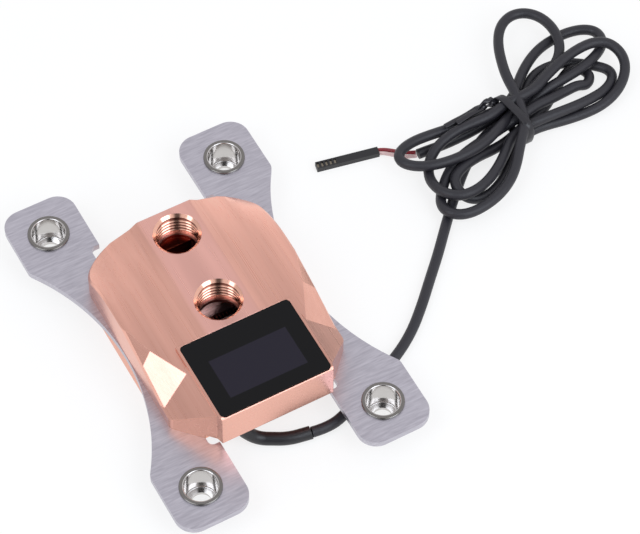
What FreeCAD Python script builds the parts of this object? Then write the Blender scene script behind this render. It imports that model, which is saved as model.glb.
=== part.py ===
import FreeCAD, Part
import math
import os
import Sketcher

Vector = FreeCAD.Vector

# Processor water block with a display, in millimetres. Z = 0 is the surface it stands on,
# the origin is the centre of the four mounting holes, and -Y is the side of the display.

SIZES = {
    "hole_pitch_x": 54.0,
    "hole_pitch_y": 90.0,
    # cold plate
    "slab_thickness": 6.8,
    "slab_half_width": 25.6,
    "slab_back": 28.0,
    "slab_front": 28.0,
    "corner_radius": 8.0,
    "land_half_width": 18.7,
    "fin_floor": 2.6,
    "fin_height": 3.6,
    "fin_thickness": 0.5,
    "fin_pitch": 1.0,
    "fin_half_length": 14.0,
    "fin_count": 28,
    "pool_half_width": 15.5,
    "pool_half_length": 16.5,
    # side brackets
    "bracket_thickness": 2.0,
    "bracket_half_width": 37.2,
    "bracket_half_length": 55.8,
    "bracket_inner": 16.4,
    "bracket_corner": 5.5,
    "waist_half_width": 26.1,
    "waist_radius": 64.0,
    "waist_blend": 3.0,
    "spine_inner": 19.2,
    "spine_half_length": 35.4,
    "spine_blend": 1.5,
    # top block
    "block_height": 13.6,
    "block_half_width": 26.0,
    "block_back": 28.2,
    "block_shoulder": 25.6,
    "shoulder_radius": 2.8,
    "housing_half_width": 16.9,
    "housing_corner": 35.3,
    "housing_front": 37.15,
    "housing_taper": 0.5,
    "housing_rear": 12.0,
    "housing_overhang": 1.7,
    "ridge_half_width": 8.0,
    "valley": 10.3,
    "wing_middle": 18.0,
    "wing_overhang": 27.0,
    "edge_bevel": 0.6,
    # wing heights above the brackets, and how far each line has fallen at the back
    "valley_height": 12.7,
    "middle_height": 12.1,
    "side_height": 11.6,
    "valley_fall": 0.9,
    "middle_fall": 3.5,
    "side_fall": 11.1,
    "fall_start": 7.0,
    # facets, each through a low corner on the side wall: a kite, a cheek in front, a long triangle behind
    "kite_low": 4.0,
    "kite_corner": 22.0,
    "kite_rise_across": 0.87,
    "kite_rise_along": 0.375,
    "kite_back": 0.0,
    "cheek_rise": 0.973,
    "cheek_back": 18.0,
    "triangle_low": 8.37,
    "triangle_corner": 10.35,
    "triangle_rise_across": 0.922,
    "triangle_rise_along": 0.27,
    "triangle_back": -4.0,
    # ports
    "port_radius": 6.58,
    "port_thread_length": 8.6,
    "port_bore_radius": 5.7,
    "outlet_y": 19.9,
    "inlet_y": 4.0,
    # water chambers under the block
    "chamber_height": 3.7,
    "chamber_back": 22.6,
    "inlet_half_width": 13.4,
    "inlet_front": 9.2,
    "inlet_back": 3.2,
    "inlet_wall": 1.4,
    "jet_thickness": 1.2,
    "jet_half_length": 12.6,
    "jet_slot_half_width": 12.0,
    "jet_slot_half_length": 1.0,
    "groove_width": 1.8,
    "groove_depth": 1.3,
    "groove_margin": 0.8,
    # screws from below
    "screw_radius": 1.5,
    "screw_head_radius": 2.6,
    "screw_head_height": 1.6,
    "screw_length": 13.0,
    "screw_end_gap": 0.5,
    "screw_key": 1.0,
    "screw_key_depth": 1.0,
    "screw_side_x": 22.2,
    "screw_side_front": 17.5,
    "screw_side_back": 3.0,
    "screw_corner_x": 21.0,
    "screw_corner_front": 24.2,
    "screw_corner_back": 22.0,
    # bushings
    "bushing_flange_radius": 5.75,
    "bushing_flange": 0.6,
    "bushing_radius": 5.15,
    "bushing_bore": 4.5,
    "bushing_hole": 2.75,
    "bushing_floor": 1.0,
    "bushing_rounding": 0.3,
    # display
    "glass_half_width": 16.1,
    "glass_rear": 12.45,
    "glass_front": 36.75,
    "glass_thickness": 1.5,
    "glass_corner": 1.2,
    "gasket_thickness": 0.3,
    "ledge_width": 1.6,
    "well_floor": 6.6,
    "panel_half_width": 12.6,
    "panel_rear": 18.6,
    "panel_front": 33.6,
    "panel_thickness": 1.6,
    "cushion_inset": 2.0,
    "board_half_width": 14.0,
    "board_rear": 14.6,
    "board_front": 34.4,
    "board_thickness": 1.0,
    "boss_height": 1.6,
    "boss_radius": 1.2,
    "boss_inset": 1.3,
    "board_screw_radius": 0.7,
    "board_screw_head_radius": 1.25,
    "board_screw_head": 0.5,
    "header_width": 3.8,
    "header_depth": 2.6,
    "header_shift": 0.6,
    # sleeve, cable and plug
    "sleeve_radius": 1.85,
    "sleeve_end_gap": 0.2,
    "cable_radius": 1.5,
    "wire_radius": 0.55,
    "hank_height": 8.4,
    "tie_width": 2.6,
    "tie_thickness": 0.6,
    "plug_length": 18.3,
    "plug_width": 2.4,
    "plug_height": 1.7,
    "contact_count": 5,
    "contact_pitch": 1.25,
    "contact_width": 0.7,
    "contact_margin": 0.375,
    "window_half_width": 0.8,
    "window_depth": 0.8,
    "wire_length": 1.98,
    # fits, and how far a cutting shape passes what it cuts
    "slip": 0.05,
    "clearance": 0.1,
    "overcut": 1.0,
    "facet_headroom": 1.0,
}

doc = FreeCAD.newDocument("liquid_cooling_cold_plate")
sheet = doc.addObject("Spreadsheet::Sheet", "sizes")
for row, (alias, number) in enumerate(SIZES.items(), start=1):
    sheet.set(f"A{row}", alias)
    sheet.set(f"B{row}", str(number))
    sheet.setAlias(f"B{row}", alias)
doc.recompute()


def linked(text):
    """An expression whose words are sizes, with each word pointed at its cell."""
    words = text.replace("(", " ( ").replace(")", " ) ").split()
    return " ".join("sizes." + word if word in SIZES else word for word in words)


def size(alias):
    return float(sheet.get(alias))


def bind(thing, **expressions):
    """Bind properties to the sheet; a double underscore stands for a dot."""
    for name, text in expressions.items():
        thing.setExpression(name.replace("__", "."), linked(text))


def new_body(label):
    body = doc.addObject("PartDesign::Body", label)
    body.Label = label
    return body


def origin_feature(body, role):
    return next(item for item in body.Origin.OriginFeatures if item.Role == role)


def new_sketch(body, name, plane, level):
    """An empty sketch on one of the body's own planes, lifted off it by an expression."""
    sketch = body.newObject("Sketcher::SketchObject", f"{body.Label}_{name}")
    sketch.AttachmentSupport = (origin_feature(body, plane), [""])
    sketch.MapMode = "FlatFace"
    sketch.setExpression("AttachmentOffset.Base.z", linked(level))
    return sketch


def polygon(sketch, corners):
    """Straight edges between corners given as pairs of expressions, from any starting shape."""
    first = sketch.GeometryCount
    count = len(corners)
    turn = 2 * math.pi / count
    start = [Vector(math.cos(turn * i), math.sin(turn * i), 0) for i in range(count)]
    for i in range(count):
        sketch.addGeometry(Part.LineSegment(start[i], start[(i + 1) % count]))
    for i in range(count):
        sketch.addConstraint(Sketcher.Constraint("Coincident", first + i, 2, first + (i + 1) % count, 1))
    for i, corner in enumerate(corners):
        for kind, text in zip(("DistanceX", "DistanceY"), corner):
            number = sketch.addConstraint(Sketcher.Constraint(kind, first + i, 1, 1.0))
            sketch.setExpression(f"Constraints[{number}]", linked(text))
    doc.recompute()
    return first


def round_corners(sketch, first, radii):
    """Round corners of a polygon: radii gives an expression for each corner's number."""
    for corner, text in radii.items():
        arc = sketch.GeometryCount
        sketch.fillet(first + corner, 1, 0.2, True, True)
        number = sketch.addConstraint(Sketcher.Constraint("Radius", arc, 0.2))
        sketch.setExpression(f"Constraints[{number}]", linked(text))
        doc.recompute()


def circle(sketch, x, y, radius):
    number = sketch.addGeometry(Part.Circle(Vector(1, 1, 0), Vector(0, 0, 1), 1.0))
    for kind, text in (("DistanceX", x), ("DistanceY", y)):
        place = sketch.addConstraint(Sketcher.Constraint(kind, number, 3, 1.0))
        sketch.setExpression(f"Constraints[{place}]", linked(text))
    place = sketch.addConstraint(Sketcher.Constraint("Radius", number, 1.0))
    sketch.setExpression(f"Constraints[{place}]", linked(radius))


def box_corners(left, right, front, back):
    return [(left, front), (right, front), (right, back), (left, back)]


def checked(body, feature, grows):
    """Recompute, and stop where a feature has not added or removed material."""
    doc.recompute()
    base = feature.BaseFeature
    before = base.Shape.Volume if base else 0.0
    after = feature.Shape.Volume
    if (after > before) != grows or abs(after - before) < 1e-4:
        raise RuntimeError(f"{feature.Label} changed nothing: {before:.3f} to {after:.3f}")
    body.Tip = feature
    return feature


def pad(body, sketch, length, downwards=False):
    feature = body.newObject("PartDesign::Pad", f"{sketch.Label}_pad")
    feature.Profile = sketch
    feature.Reversed = downwards
    feature.setExpression("Length", linked(length))
    return checked(body, feature, True)


def pocket(body, sketch, depth, upwards=False):
    feature = body.newObject("PartDesign::Pocket", f"{sketch.Label}_pocket")
    feature.Profile = sketch
    feature.Reversed = upwards
    feature.setExpression("Length", linked(depth))
    return checked(body, feature, False)


def revolve(body, sketch):
    """Turn a profile drawn on the XZ plane about the Z axis."""
    feature = body.newObject("PartDesign::Revolution", f"{sketch.Label}_turned")
    feature.Profile = sketch
    feature.ReferenceAxis = (origin_feature(body, "Z_Axis"), [""])
    feature.Angle = 360
    return checked(body, feature, True)


def extruded(label, corners, level, height, radii=None, name="outline"):
    """A body padded up from an outline on the XY plane."""
    body = new_body(label)
    sketch = new_sketch(body, name, "XY_Plane", level)
    first = polygon(sketch, corners)
    round_corners(sketch, first, radii or {})
    pad(body, sketch, height)
    return body


def place(body, x, y):
    bind(body, Placement__Base__x=x, Placement__Base__y=y)


BRACKET_TOP = "slab_thickness + bracket_thickness"
BLOCK_TOP = "slab_thickness + bracket_thickness + block_height"
CEILING = "slab_thickness + bracket_thickness + chamber_height"
JET_TOP = "fin_floor + fin_height + jet_thickness"
FALL_STEPS = 5
SCREW_PLACES = [
    (f"{side}screw_{spot}_x", way)
    for side in ("", "-")
    for spot, way in (
        ("side", "-screw_side_front"),
        ("side", "screw_side_back"),
        ("corner", "-screw_corner_front"),
        ("corner", "screw_corner_back"),
    )
]


def signed(text):
    """Minus a size, written so that the sheet can read it."""
    return f"-1 * {text[1:]}" if text.startswith("-") else text


def cold_plate():
    """Copper plate that lies on the processor: a slab, a raised land and the fins in its pool."""
    slab = box_corners("-1 * slab_half_width", "slab_half_width", "-1 * slab_front", "slab_back")
    body = extruded("cold_plate", slab, "0", "slab_thickness", {i: "corner_radius" for i in range(4)}, "slab")

    land = new_sketch(body, "land", "XY_Plane", "slab_thickness")
    polygon(land, box_corners("-1 * land_half_width", "land_half_width", "-1 * slab_front", "slab_back"))
    pad(body, land, "bracket_thickness")

    pool = new_sketch(body, "pool", "XY_Plane", BRACKET_TOP)
    first = polygon(pool, box_corners(
        "-1 * pool_half_width", "pool_half_width", "-1 * pool_half_length", "pool_half_length"))
    round_corners(pool, first, {i: "spine_blend" for i in range(4)})
    pocket(body, pool, f"{BRACKET_TOP} - fin_floor")

    fin = new_sketch(body, "fin", "XY_Plane", "fin_floor")
    left = "-1 * fin_pitch * ( fin_count - 1 ) / 2 - fin_thickness / 2"
    polygon(fin, box_corners(left, f"{left} + fin_thickness", "-1 * fin_half_length", "fin_half_length"))
    first_fin = pad(body, fin, "fin_height")
    row = body.newObject("PartDesign::LinearPattern", "fin_row")
    row.Originals = [first_fin]
    row.Direction = (origin_feature(body, "X_Axis"), [""])
    bind(row, Length="fin_pitch * ( fin_count - 1 )", Occurrences="fin_count")
    checked(body, row, True)

    holes = new_sketch(body, "screw_holes", "XY_Plane", "0")
    heads = new_sketch(body, "screw_heads", "XY_Plane", "0")
    for x, y in SCREW_PLACES:
        circle(holes, signed(x), signed(y), "screw_radius + clearance")
        circle(heads, signed(x), signed(y), "screw_head_radius + clearance")
    pocket(body, holes, "slab_thickness", upwards=True)
    pocket(body, heads, "screw_head_height + clearance", upwards=True)
    return body


def bracket(label):
    """Stainless plate along one side: two pads with a waisted spine that the block clamps."""
    body = extruded(
        label,
        box_corners("bracket_inner", "bracket_half_width", "-1 * bracket_half_length", "bracket_half_length"),
        "slab_thickness", "bracket_thickness", {i: "bracket_corner" for i in range(4)}, "plate")

    inner = new_sketch(body, "inner", "XY_Plane", BRACKET_TOP)
    first = polygon(inner, [
        ("bracket_inner - overcut", "-1 * spine_half_length"),
        ("spine_inner", "-1 * spine_half_length"),
        ("spine_inner", "spine_half_length"),
        ("bracket_inner - overcut", "spine_half_length"),
    ])
    round_corners(inner, first, {1: "spine_blend", 2: "spine_blend"})
    pocket(body, inner, "bracket_thickness")

    waist = new_sketch(body, "waist", "XY_Plane", BRACKET_TOP)
    circle(waist, "waist_half_width + waist_radius", "0", "waist_radius")
    pocket(body, waist, "bracket_thickness")

    hips = [
        f"Edge{number}" for number, edge in enumerate(body.Shape.Edges, start=1)
        if len(edge.Vertexes) == 2
        and all(abs(corner.X - size("bracket_half_width")) < 0.01 for corner in edge.Vertexes)
        and all(abs(corner.Y) < size("waist_radius") * 0.75 for corner in edge.Vertexes)
        and abs(edge.Vertexes[0].Z - edge.Vertexes[1].Z) > size("bracket_thickness") / 2
    ]
    base = body.Tip
    blend = body.newObject("PartDesign::Fillet", f"{label}_hips")
    blend.Base = (base, hips)
    bind(blend, Radius="waist_blend")
    checked(body, blend, False)

    holes = new_sketch(body, "holes", "XY_Plane", BRACKET_TOP)
    for end in ("-1 * ", ""):
        circle(holes, "hole_pitch_x / 2", f"{end}hole_pitch_y / 2", "bushing_radius + slip")
    for x, y in SCREW_PLACES[:4]:
        circle(holes, signed(x), signed(y), "screw_radius + clearance")
    pocket(body, holes, "bracket_thickness")
    return body


def jet_plate():
    """Thin plate over the fins; the water enters through its slot and leaves past its two ends."""
    body = extruded(
        "jet_plate",
        box_corners("-1 * pool_half_width + clearance", "pool_half_width - clearance",
                    "-1 * jet_half_length", "jet_half_length"),
        "fin_floor + fin_height", "jet_thickness")
    slot = new_sketch(body, "slot", "XY_Plane", JET_TOP)
    polygon(slot, box_corners("-1 * jet_slot_half_width", "jet_slot_half_width",
                              "-1 * jet_slot_half_length", "jet_slot_half_length"))
    pocket(body, slot, "jet_thickness")
    return body


def seal_outline(offset):
    """Rounded rectangle round the water chambers, at a distance from their walls."""
    grow = f"( groove_margin + {offset} )"
    return box_corners(
        f"-1 * pool_half_width - {grow}", f"pool_half_width + {grow}",
        f"-1 * pool_half_length - {grow}", f"chamber_back + {grow}")


def main_seal():
    """Square-section ring in the block's groove, pressed on the cold plate's land."""
    body = extruded("main_seal", seal_outline("groove_width - slip"), BRACKET_TOP, "groove_depth - slip",
                    {i: "groove_width + groove_margin - slip" for i in range(4)})
    inside = new_sketch(body, "inside", "XY_Plane", BRACKET_TOP)
    first = polygon(inside, seal_outline("slip"))
    round_corners(inside, first, {i: "groove_margin + slip" for i in range(4)})
    pocket(body, inside, "groove_depth", upwards=True)
    return body


def wing_section(body, name, station, fall):
    """Outline of the block across its width, seen from the front, at one station along Y."""
    sketch = new_sketch(body, name, "XZ_Plane", f"-1 * ( {station} )")
    right = [("wing_overhang", BRACKET_TOP)]
    for x, line in (("wing_overhang", "side"), ("wing_middle", "middle"), ("valley", "valley")):
        right.append((x, f"{BRACKET_TOP} + {line}_height - {line}_fall * {fall}"))
    right.append(("ridge_half_width", BLOCK_TOP))
    left = [(f"-1 * {x}", z) for x, z in reversed(right)]
    polygon(sketch, right + left)
    return sketch


def cut_facets(body, facet, front):
    """Mill a sloping facet on both sides, as a loft of two triangles that lie above it."""
    sections = []
    for end, station in (("rear", f"{facet}_back"), ("front", front)):
        sketch = new_sketch(body, f"{facet}_{end}", "XZ_Plane", station)
        low = f"{facet}_low + {facet}_rise_along * ( {facet}_corner - ( {station} ) )"
        step = f"{facet}_rise_across * ( wing_overhang - block_half_width )"
        top = "block_height + facet_headroom"
        polygon(sketch, [
            ("wing_overhang", f"{BRACKET_TOP} + {low} - {step}"),
            ("wing_overhang", f"{BRACKET_TOP} + {top}"),
            (f"block_half_width - ( {top} - ( {low} ) ) / {facet}_rise_across", f"{BRACKET_TOP} + {top}"),
        ])
        sections.append(sketch)
    cut = body.newObject("PartDesign::SubtractiveLoft", f"{facet}_facet")
    cut.Profile = sections[0]
    cut.Sections = sections[1:]
    cut.Ruled = True
    checked(body, cut, False)
    other = body.newObject("PartDesign::Mirrored", f"{facet}_facets")
    other.Originals = [cut]
    other.MirrorPlane = (origin_feature(body, "YZ_Plane"), [""])
    checked(body, other, False)


def top_block():
    """Milled block: a ridge with two ports, falling wings, cut facets and the display housing."""
    body = new_body("top_block")
    front = wing_section(body, "front", "-1 * housing_front - overcut", "0")
    middle = wing_section(body, "middle", "fall_start", "0")
    level = body.newObject("PartDesign::AdditiveLoft", "level_wings")
    level.Profile = front
    level.Sections = [middle]
    level.Ruled = True
    checked(body, level, True)

    stations = []
    for step in range(FALL_STEPS + 1):
        share = step / FALL_STEPS
        station = f"fall_start + ( block_back + overcut - fall_start ) * {share}"
        stations.append(wing_section(body, f"station_{step}", station, f"{share ** 2}"))
    falling = body.newObject("PartDesign::AdditiveLoft", "falling_wings")
    falling.Profile = stations[0]
    falling.Sections = stations[1:]
    checked(body, falling, True)

    cut_facets(body, "triangle", "kite_corner")
    cut_facets(body, "kite", "housing_front + overcut")

    cheeks = new_sketch(body, "cheeks", "XZ_Plane", "cheek_back")
    fall = "cheek_rise * ( block_half_width - housing_half_width )"
    step = "cheek_rise * ( wing_overhang - block_half_width )"
    polygon(cheeks, [
        ("-1 * wing_overhang", BRACKET_TOP),
        ("wing_overhang", BRACKET_TOP),
        ("wing_overhang", f"{BRACKET_TOP} + kite_low - {step}"),
        ("housing_half_width", f"{BRACKET_TOP} + kite_low + {fall}"),
        ("-1 * housing_half_width", f"{BRACKET_TOP} + kite_low + {fall}"),
        ("-1 * wing_overhang", f"{BRACKET_TOP} + kite_low - {step}"),
    ])
    pad(body, cheeks, "housing_front + overcut - cheek_back")

    housing = new_sketch(body, "housing", "XY_Plane", BRACKET_TOP)
    polygon(housing, box_corners("-1 * housing_half_width", "housing_half_width",
                                 "-1 * housing_front - overcut", "-1 * housing_rear"))
    pad(body, housing, "block_height")

    plan = new_sketch(body, "plan", "XY_Plane", f"{BLOCK_TOP} + overcut")
    right = [
        ("( housing_half_width - housing_taper )", "-1 * housing_front"),
        ("housing_half_width", "-1 * housing_corner"),
        ("block_half_width", "-1 * block_shoulder"),
        ("block_half_width", "block_back"),
    ]
    first = polygon(plan, right + [(f"-1 * {x}", y) for x, y in reversed(right)])
    round_corners(plan, first, {
        2: "shoulder_radius", 3: "corner_radius", 4: "corner_radius", 5: "shoulder_radius"})
    polygon(plan, box_corners("-1 * wing_overhang - overcut", "wing_overhang + overcut",
                              "-1 * housing_front - overcut * 2", "block_back + overcut * 2"))
    pocket(body, plan, "block_height + overcut * 2")

    void = new_sketch(body, "overhang", "XY_Plane", BRACKET_TOP)
    polygon(void, box_corners("-1 * spine_inner", "spine_inner",
                              "-1 * housing_front - overcut", "-1 * slab_front"))
    pocket(body, void, "housing_overhang", upwards=True)
    return body


def block_ports(body):
    """Two screw ports from the top of the ridge down to their chambers."""
    for name, y in (("inlet", "-1 * inlet_y"), ("outlet", "outlet_y")):
        thread = new_sketch(body, f"{name}_port", "XY_Plane", BLOCK_TOP)
        circle(thread, "0", y, "port_radius")
        pocket(body, thread, "port_thread_length")
        bore = new_sketch(body, f"{name}_bore", "XY_Plane", f"{BLOCK_TOP} - port_thread_length")
        circle(bore, "0", y, "port_bore_radius")
        pocket(body, bore, "block_height - port_thread_length - chamber_height")


def block_chambers(body):
    """Collector under the block, the inlet's wall down to the jet plate, and the seal's groove."""
    collector = new_sketch(body, "collector", "XY_Plane", BRACKET_TOP)
    first = polygon(collector, box_corners(
        "-1 * pool_half_width", "pool_half_width", "-1 * pool_half_length", "chamber_back"))
    round_corners(collector, first, {i: "spine_blend" for i in range(4)})
    pocket(body, collector, "chamber_height", upwards=True)

    wall = new_sketch(body, "inlet_wall", "XY_Plane", JET_TOP)
    outer = polygon(wall, box_corners(
        "-1 * inlet_half_width - inlet_wall", "inlet_half_width + inlet_wall",
        "-1 * inlet_front - inlet_wall", "inlet_back + inlet_wall"))
    inner = polygon(wall, box_corners(
        "-1 * inlet_half_width", "inlet_half_width", "-1 * inlet_front", "inlet_back"))
    round_corners(wall, outer, {i: "spine_blend + inlet_wall" for i in range(4)})
    round_corners(wall, inner, {i: "spine_blend" for i in range(4)})
    pad(body, wall, f"{CEILING} - ( {JET_TOP} )")

    groove = new_sketch(body, "groove", "XY_Plane", BRACKET_TOP)
    outer = polygon(groove, seal_outline("groove_width"))
    inner = polygon(groove, seal_outline("0"))
    round_corners(groove, outer, {i: "groove_width + groove_margin" for i in range(4)})
    round_corners(groove, inner, {i: "groove_margin" for i in range(4)})
    pocket(body, groove, "groove_depth", upwards=True)

    holes = new_sketch(body, "screw_holes", "XY_Plane", BRACKET_TOP)
    for x, y in SCREW_PLACES:
        circle(holes, signed(x), signed(y), "screw_radius + slip")
    pocket(body, holes, f"screw_length - ( {BRACKET_TOP} ) + screw_end_gap", upwards=True)


def glass_outline(offset):
    """Rectangle of the cover glass, grown by an offset."""
    return box_corners(
        f"-1 * glass_half_width - ( {offset} )", f"glass_half_width + {offset}",
        f"-1 * glass_front - ( {offset} )", f"-1 * glass_rear + {offset}")


def block_display_well(body):
    """Seat for the glass, the well below it with four bosses, and the cable's hole."""
    seat = new_sketch(body, "glass_seat", "XY_Plane", BLOCK_TOP)
    first = polygon(seat, glass_outline("clearance"))
    round_corners(seat, first, {i: "glass_corner + clearance" for i in range(4)})
    pocket(body, seat, "glass_thickness + gasket_thickness")

    well = new_sketch(body, "well", "XY_Plane", BLOCK_TOP)
    first = polygon(well, glass_outline("0 - ledge_width"))
    round_corners(well, first, {i: "glass_corner" for i in range(4)})
    pocket(body, well, "block_height - well_floor")

    bosses = new_sketch(body, "bosses", "XY_Plane", f"{BRACKET_TOP} + well_floor")
    for x, y in BOSS_PLACES:
        circle(bosses, x, y, "boss_radius")
    pad(body, bosses, "boss_height")
    pilots = new_sketch(body, "boss_holes", "XY_Plane", f"{BRACKET_TOP} + well_floor + boss_height")
    for x, y in BOSS_PLACES:
        circle(pilots, x, y, "board_screw_radius")
    pocket(body, pilots, "boss_height")

    exit_hole = new_sketch(body, "cable_exit", "XY_Plane", f"{BRACKET_TOP} + well_floor")
    circle(exit_hole, str(SLEEVE_ROUTE[0].x), str(SLEEVE_ROUTE[0].y), "sleeve_radius + clearance")
    pocket(body, exit_hole, "well_floor")


def bevel_block(body):
    """Break the upper edges of the side walls and of the front face."""
    top = sum(size(name) for name in ("slab_thickness", "bracket_thickness", "block_height"))
    edges = []
    for number, edge in enumerate(body.Shape.Edges, start=1):
        ends = [vertex.Point for vertex in edge.Vertexes]
        if len(ends) < 2 or min(end.z for end in ends) < size("slab_thickness") + size("bracket_thickness") + 1:
            continue
        on_side = all(abs(abs(end.x) - size("block_half_width")) < 0.01 for end in ends)
        on_front = all(abs(end.y + size("housing_front")) < 0.01 and abs(end.z - top) < 0.01 for end in ends)
        behind_cheek = min(end.y for end in ends) > -size("kite_corner") - 0.01
        if on_front or on_side and behind_cheek and abs(ends[0].y - ends[1].y) > size("shoulder_radius"):
            edges.append(f"Edge{number}")
    base = body.Tip
    bevel = body.newObject("PartDesign::Chamfer", "edge_bevel")
    bevel.Base = (base, edges)
    bind(bevel, Size="edge_bevel")
    checked(body, bevel, False)


def bushing(label, x, y):
    """Plated cup in a bracket's hole: a flange, a wide mouth and a smaller screw hole in its floor."""
    body = new_body(label)
    cup = new_sketch(body, "cup", "XZ_Plane", "0")
    rim = f"{BRACKET_TOP} + bushing_flange"
    first = polygon(cup, [
        ("bushing_hole", "0"),
        ("bushing_radius", "0"),
        ("bushing_radius", BRACKET_TOP),
        ("bushing_flange_radius", BRACKET_TOP),
        ("bushing_flange_radius", rim),
        ("bushing_bore", rim),
        ("bushing_bore", "bushing_floor"),
        ("bushing_hole", "bushing_floor"),
    ])
    round_corners(cup, first, {1: "bushing_rounding", 4: "bushing_rounding", 5: "bushing_rounding"})
    revolve(body, cup)
    place(body, x, y)
    return body


def base_screw(label, x, y):
    """Socket screw from below, its head sunk in the slab."""
    body = new_body(label)
    shank = new_sketch(body, "shank", "XZ_Plane", "0")
    polygon(shank, [
        ("0", "clearance"),
        ("screw_head_radius", "clearance"),
        ("screw_head_radius", "screw_head_height + clearance"),
        ("screw_radius", "screw_head_height + clearance"),
        ("screw_radius", "screw_length"),
        ("0", "screw_length"),
    ])
    revolve(body, shank)
    key = new_sketch(body, "key", "XY_Plane", "clearance")
    turn = math.pi / 3
    polygon(key, [
        (f"screw_key * {math.cos(turn * i):.6f}", f"screw_key * {math.sin(turn * i):.6f}") for i in range(6)])
    pocket(body, key, "screw_key_depth", upwards=True)
    place(body, x, y)
    return body


BOSS_PLACES = [
    (x, y)
    for x in ("-1 * board_half_width + boss_inset", "board_half_width - boss_inset")
    for y in ("-1 * board_front + boss_inset", "-1 * board_rear - boss_inset")
]


def display_pieces():
    """Cover glass, its adhesive gasket, the panel on its cushion, the board and its screws."""
    glass_bottom = f"{BLOCK_TOP} - glass_thickness"
    extruded("display_glass", glass_outline("0"), glass_bottom, "glass_thickness",
             {i: "glass_corner" for i in range(4)})

    gasket = extruded("display_gasket", glass_outline("0"), f"{glass_bottom} - gasket_thickness",
                      "gasket_thickness", {i: "glass_corner" for i in range(4)})
    window = new_sketch(gasket, "window", "XY_Plane", glass_bottom)
    first = polygon(window, glass_outline("0 - ledge_width"))
    round_corners(window, first, {i: "glass_corner" for i in range(4)})
    pocket(gasket, window, "gasket_thickness")

    panel = box_corners("-1 * panel_half_width", "panel_half_width", "-1 * panel_front", "-1 * panel_rear")
    panel_bottom = f"{glass_bottom} - panel_thickness"
    extruded("display_panel", panel, panel_bottom, "panel_thickness")

    board_bottom = f"{BRACKET_TOP} + well_floor + boss_height"
    board_top = f"{board_bottom} + board_thickness"
    cushion = box_corners("-1 * panel_half_width + cushion_inset", "panel_half_width - cushion_inset",
                          "-1 * panel_front + cushion_inset", "-1 * panel_rear - cushion_inset")
    extruded("panel_cushion", cushion, board_top, f"{panel_bottom} - ( {board_top} )")

    board = extruded(
        "control_board",
        box_corners("-1 * board_half_width", "board_half_width", "-1 * board_front", "-1 * board_rear"),
        board_bottom, "board_thickness", {i: "glass_corner" for i in range(4)})
    holes = new_sketch(board, "holes", "XY_Plane", board_top)
    for x, y in BOSS_PLACES:
        circle(holes, x, y, "board_screw_radius + clearance")
    pocket(board, holes, "board_thickness")

    for number, (x, y) in enumerate(BOSS_PLACES, start=1):
        body = new_body(f"board_screw_{number}")
        shank = new_sketch(body, "shank", "XZ_Plane", "0")
        polygon(shank, [
            ("0", f"{board_bottom} - boss_height + clearance"),
            ("board_screw_radius - slip", f"{board_bottom} - boss_height + clearance"),
            ("board_screw_radius - slip", board_top),
            ("board_screw_head_radius", board_top),
            ("board_screw_head_radius", f"{board_top} + board_screw_head"),
            ("0", f"{board_top} + board_screw_head"),
        ])
        revolve(body, shank)
        place(body, x, y)

    exit_x = SLEEVE_ROUTE[0].x
    exit_y = SLEEVE_ROUTE[0].y
    header = box_corners(
        f"{exit_x} - header_width / 2", f"{exit_x} + header_width / 2",
        f"{exit_y} - header_depth / 2 + header_shift", f"{exit_y} + header_depth / 2 + header_shift")
    extruded("cable_header", header, f"{board_bottom} - boss_height", "boss_height")


# The cable's route is a list of hand-chosen points, in order from the housing to the hank.
WELL_LEVEL = size("slab_thickness") + size("bracket_thickness") + size("well_floor")
SLEEVE_LEVEL = size("sleeve_radius") + size("slip")
CABLE_LEVEL = size("cable_radius") + size("slip")
SLEEVE_ROUTE = [
    Vector(-9.4, -33.2, WELL_LEVEL),
    Vector(-9.4, -33.2, 6.6),
    Vector(-5.5, -35.6, SLEEVE_LEVEL),
    Vector(1.6, -39.6, SLEEVE_LEVEL),
    Vector(7.8, -40.7, SLEEVE_LEVEL),
]
SLEEVE_HEADING = (SLEEVE_ROUTE[-1] - SLEEVE_ROUTE[-2]).normalize()
CABLE_ROUTE = [
    SLEEVE_ROUTE[-1] + SLEEVE_HEADING * size("sleeve_end_gap"),
    Vector(13.0, -41.62, SLEEVE_LEVEL),
    Vector(19.4, -39.6, CABLE_LEVEL),
    Vector(28.4, -35.2, CABLE_LEVEL),
    Vector(38.4, -31.2, CABLE_LEVEL),
    Vector(46.4, -26.2, CABLE_LEVEL),
    Vector(53.4, -19.8, CABLE_LEVEL),
    Vector(59.6, -13.4, CABLE_LEVEL),
    Vector(65.4, -7.6, CABLE_LEVEL),
    Vector(70.36, -1.64, CABLE_LEVEL),
]
HANK_OUTLINE = [
    (68.0, 0.4),
    (72.8, -3.6),
    (80.0, -4.6),
    (90.5, -1.5),
    (101.6, 6.2),
    (108.6, 15.0),
    (133.9, 12.0),
    (147.4, 20.0),
    (148.4, 36.0),
    (137.5, 47.5),
    (132.0, 56.8),
    (118.6, 52.2),
    (109.6, 30.6),
    (89.3, 31.8),
    (70.85, 32.4),
    (69.78, 26.99),
    (73.8, 16.6),
]
HANK_ROUNDING = {2: 6, 3: 12, 5: 3, 7: 8, 8: 9, 10: 5, 11: 6, 12: 3, 13: 8, 16: 6}
WAIST_X = 109.5
WAIST_FRONT = 15.4
WAIST_BACK = 31.0
PLUG_REAR = Vector(68.6, 31.3, 0)
PLUG_HEADING = 168.7


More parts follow.
